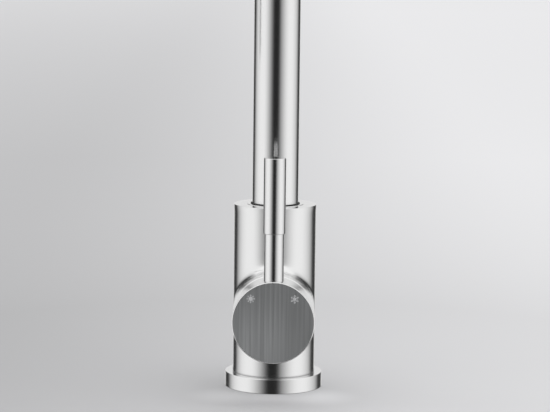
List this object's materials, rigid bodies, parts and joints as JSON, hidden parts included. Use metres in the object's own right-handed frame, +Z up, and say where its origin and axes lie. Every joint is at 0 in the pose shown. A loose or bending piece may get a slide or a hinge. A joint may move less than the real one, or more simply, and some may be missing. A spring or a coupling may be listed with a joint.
{
  "type": "pull-out kitchen mixer tap",
  "caption": "Deck-mounted kitchen mixer tap with a round body, a side lever with a round hub, a swivelling arched spout and a spray head that pulls out on a hose.",
  "frame": {"origin": "centre of the base seal's underside, where the tap stands on the worktop", "axes": "+Z up along the body and the spout's swivel axis, -Y along the spout's reach to the user, +X along the side branch that carries the lever"},
  "size_m": [0.0951, 0.2604, 0.525],
  "materials": {
    "satin_steel": "satin brushed stainless steel",
    "face_steel": "dark straight brushed stainless steel",
    "plain_steel": "plain machined steel",
    "brass": "machined brass",
    "black_rubber": "matt black rubber",
    "white_plastic": "moulded acetal",
    "grey_plastic": "moulded dark grey plastic",
    "ceramic": "lapped alumina ceramic",
    "magnet": "plated ferrite magnet",
    "hose_braid": "rubber hose with a grey braided sheath"
  },
  "bodies": {
    "root": {"base_flange": "satin_steel", "base_seal": "black_rubber", "body_shell": "satin_steel", "valve_block": "brass", "threaded_shank": "brass", "rubber_washer": "black_rubber", "steel_washer": "plain_steel", "mounting_nut": "brass", "jack_screws": "plain_steel", "cartridge_base": "white_plastic", "cartridge_seals": "black_rubber", "cartridge_housing": "white_plastic", "fixed_ceramic_disc": "ceramic", "retaining_nut": "brass", "bonnet": "satin_steel", "spout_socket": "brass", "wiper_seal": "black_rubber", "collar_ring": "satin_steel", "lower_ferrule": "plain_steel", "hose_tail_fitting": "brass"},
    "spout": {"spout_tube": "satin_steel", "spout_sleeve": "brass", "glide_ring_lower": "white_plastic", "glide_ring_upper": "white_plastic", "swivel_seal": "black_rubber", "retaining_clip": "plain_steel", "nose_insert": "grey_plastic", "dock_magnet": "magnet", "pull_hose": "hose_braid"},
    "hose_end": {"upper_ferrule": "plain_steel", "upper_hose_fitting": "brass", "fitting_seal": "black_rubber"},
    "spray_head": {"head_shell": "satin_steel", "spray_core": "grey_plastic", "catch_ring": "plain_steel", "swivel_nut": "brass", "check_valve_cage": "white_plastic", "check_spring": "plain_steel", "spray_plate": "grey_plastic", "nozzle_mat": "black_rubber", "aerator_housing": "white_plastic", "aerator_screen": "white_plastic", "button_spring": "plain_steel"},
    "button": {"mode_button": "black_rubber", "diverter_spool": "white_plastic", "spool_seals": "black_rubber"},
    "poppet": {"check_poppet": "grey_plastic"},
    "mixer": {"spindle_collar": "grey_plastic", "pivot_pin": "plain_steel"},
    "disc_pack": {"moving_ceramic_disc": "ceramic", "disc_carrier": "grey_plastic"},
    "handle": {"stem": "plain_steel", "handle_hub": "satin_steel", "hub_face": "face_steel", "lever_neck": "satin_steel", "lever_grip": "satin_steel", "hub_screw": "plain_steel", "screw_plug": "grey_plastic"}
  },
  "joints": [
    {"name": "spout_swivel", "type": "hinge", "parent": "root", "child": "spout", "pos_m": [0, 0, 0.1], "axis": [0, 0, 1], "continuous": true, "deforming": ["pull_hose"]},
    {"name": "head_pull", "type": "slide", "parent": "spout", "child": "hose_end", "axis": [0, 0, -1], "range_m": [0, 0.45], "stiffness_N_per_m": 10, "springref_m": -0.7, "deforming": ["pull_hose"]},
    {"name": "head_turn", "type": "hinge", "parent": "hose_end", "child": "spray_head", "pos_m": [0, -0.214, 0.28], "axis": [0, 0, 1], "continuous": true},
    {"name": "button_press", "type": "slide", "parent": "spray_head", "child": "button", "axis": [0, 1, 0], "range_m": [0, 0.002], "stiffness_N_per_m": 900, "springref_m": -0.002, "deforming": ["button_spring"]},
    {"name": "check_lift", "type": "slide", "parent": "spray_head", "child": "poppet", "axis": [0, 0, -1], "range_m": [0, 0.002], "stiffness_N_per_m": 150, "springref_m": -0.003, "deforming": ["check_spring"]},
    {"name": "temperature_turn", "type": "hinge", "parent": "root", "child": "mixer", "pos_m": [0.03, 0, 0.05], "axis": [1, 0, 0], "range_deg": [-50, 50]},
    {"name": "flow_lift", "type": "hinge", "parent": "mixer", "child": "handle", "pos_m": [0.03, 0, 0.05], "axis": [0, 1, 0], "range_deg": [0, 20]},
    {"name": "disc_slide", "type": "slide", "parent": "mixer", "child": "disc_pack", "axis": [0, 0, 1], "range_m": [0, 0.0026]}
  ],
  "couplings": [
    {"joint": "disc_slide", "follows": "flow_lift", "m_per_rad": 0.0072}
  ]
}
